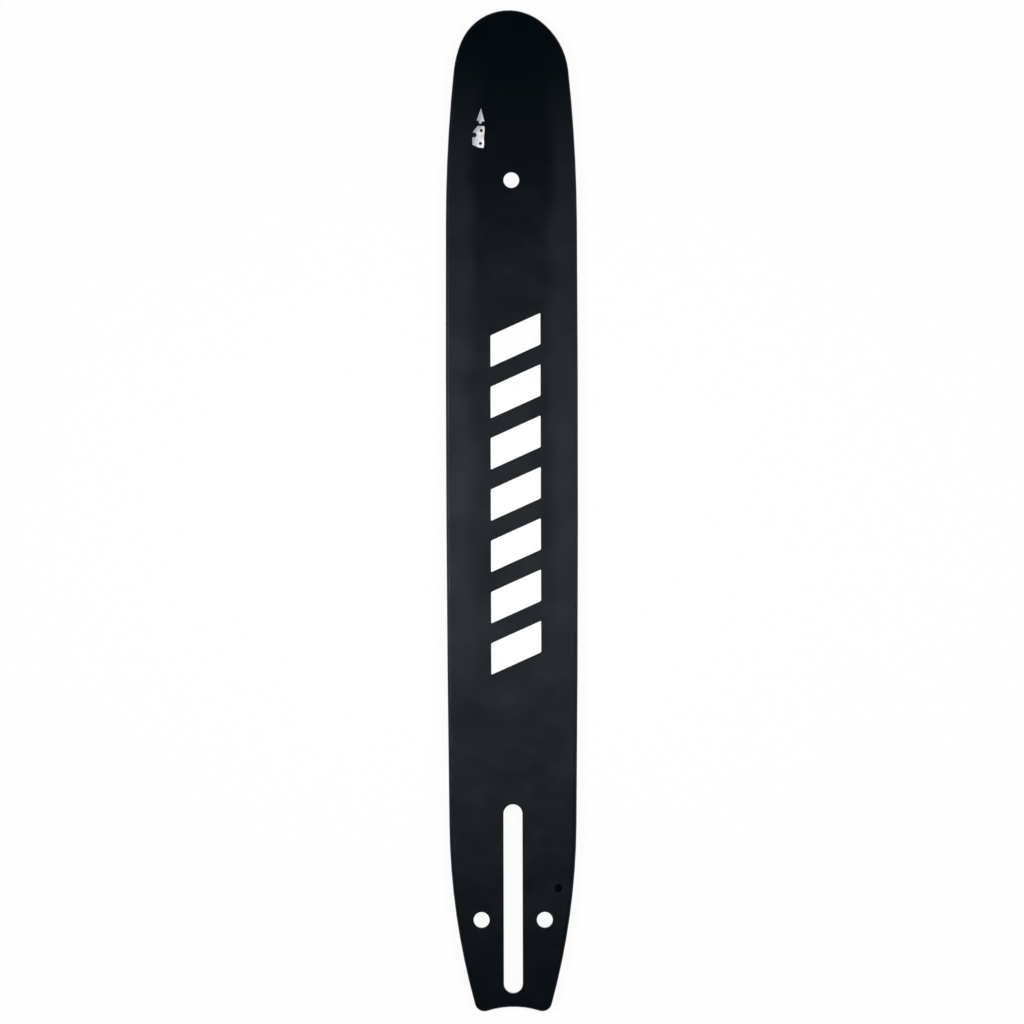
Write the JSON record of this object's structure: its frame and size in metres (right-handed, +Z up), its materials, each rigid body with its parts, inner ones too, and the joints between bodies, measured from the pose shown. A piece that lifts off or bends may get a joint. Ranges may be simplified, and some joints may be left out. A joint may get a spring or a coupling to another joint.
{
  "type": "chainsaw guide bar",
  "caption": "Flat one-piece chainsaw guide bar with a rounded hard nose, a chain groove round its rim, and a stud slot and tensioner holes at its tapered tail.",
  "frame": {"origin": "middle of the stud slot, on the face that is clamped to the saw", "axes": "+Y along the bar towards its nose, +Z up through its thickness, +X to the right as seen from above"},
  "size_m": [0.0586, 0.445, 0.004],
  "materials": {
    "black_paint": "satin",
    "white_print": "matte"
  },
  "bodies": {
    "root": {"guide_bar": "black_paint"}
  },
  "joints": []
}
